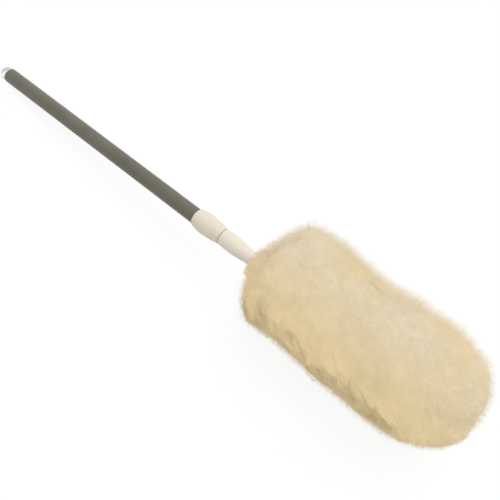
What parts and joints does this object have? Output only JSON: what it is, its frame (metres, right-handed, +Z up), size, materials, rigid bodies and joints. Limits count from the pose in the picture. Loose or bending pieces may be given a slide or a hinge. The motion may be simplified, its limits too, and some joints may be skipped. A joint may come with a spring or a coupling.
{
  "type": "extendable duster",
  "caption": "Wool duster head on a telescoping handle with a twist lock, a swelling collar and a hanging loop at the butt end, lying on its side.",
  "frame": {"origin": "middle of the bounding box, on the surface that the duster lies on", "axes": "+X runs from the butt end to the wool head, +Y across it towards the side where the wool is fuller, +Z up"},
  "size_m": [0.8855, 0.1633, 0.1618],
  "materials": {
    "taupe_coating": "matte",
    "clear_white_plastic": "satin",
    "ivory_plastic": "satin",
    "nose_plastic": "satin",
    "white_acetal": "satin",
    "black_nylon": "matte",
    "bright_steel": "satin",
    "drawn_aluminium": "satin",
    "beech": "matte",
    "sheepskin": "matte",
    "lambswool": "matte"
  },
  "bodies": {
    "handle": {"outer_tube": "taupe_coating", "hanging_cap": "clear_white_plastic", "guide_bush": "white_acetal", "guide_collar": "ivory_plastic"},
    "lock_sleeve": {"expander_sleeve": "black_nylon"},
    "wool_head": {"lock_stud": "bright_steel", "stud_nut": "bright_steel", "thrust_washer": "bright_steel", "tube_plug": "white_acetal", "plug_pin": "bright_steel", "inner_tube": "drawn_aluminium", "nose_cone": "nose_plastic", "core_screw": "bright_steel", "core_rod": "beech", "hide_strip": "sheepskin", "strip_tack_1": "bright_steel", "strip_tack_2": "bright_steel", "strip_tack_3": "bright_steel", "strip_tack_4": "bright_steel", "end_disc": "white_acetal", "end_screw": "bright_steel", "fleece": "lambswool"},
    "lock_wedge": {"wedge_nut": "white_acetal"}
  },
  "joints": [
    {"name": "extension_slide", "type": "slide", "parent": "handle", "child": "lock_sleeve", "axis": [0.9957, 0, 0.0924], "range_m": [0, 0.33]},
    {"name": "lock_twist", "type": "hinge", "parent": "lock_sleeve", "child": "wool_head", "pos_m": [-0.3368, -0.0091, 0.01945], "axis": [0.9957, 0, 0.0924], "range_deg": [0, 360]},
    {"name": "wedge_travel", "type": "slide", "parent": "lock_sleeve", "child": "lock_wedge", "axis": [-0.9957, 0, -0.0924], "range_m": [0, 0.002]}
  ],
  "couplings": [
    {"joint": "wedge_travel", "follows": "lock_twist", "m_per_rad": 0.00031831}
  ]
}
